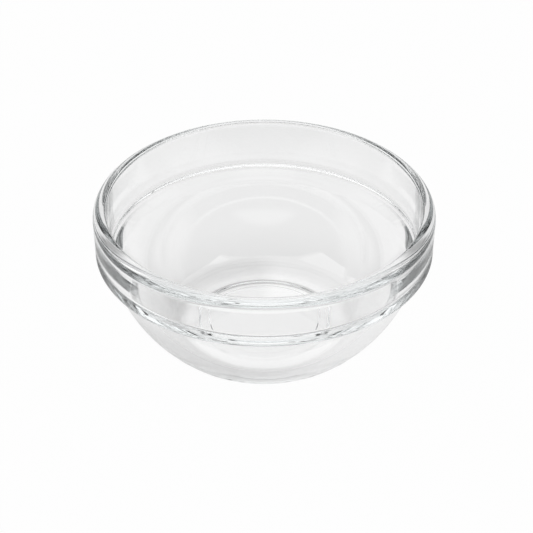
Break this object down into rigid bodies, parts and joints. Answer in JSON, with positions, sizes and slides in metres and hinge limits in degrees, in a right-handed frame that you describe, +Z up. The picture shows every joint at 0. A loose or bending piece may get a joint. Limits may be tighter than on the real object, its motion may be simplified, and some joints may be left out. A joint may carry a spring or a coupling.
{
  "type": "tinting bowl",
  "caption": "Small round clear glass bowl with an upright rim band, a stacking ledge under it and a spherical body on a flat foot, for mixing tint.",
  "frame": {"origin": "on the bowl's axis, on the plane that its foot stands on", "axes": "+Z up along the bowl's axis, towards the mouth; the bowl is round, so X and Y are alike"},
  "size_m": [0.06, 0.06, 0.0266],
  "materials": {
    "glass": "clear pressed glass with a polished surface and a faint cool tint where it is thick"
  },
  "bodies": {
    "root": {"bowl": "glass"}
  },
  "joints": []
}
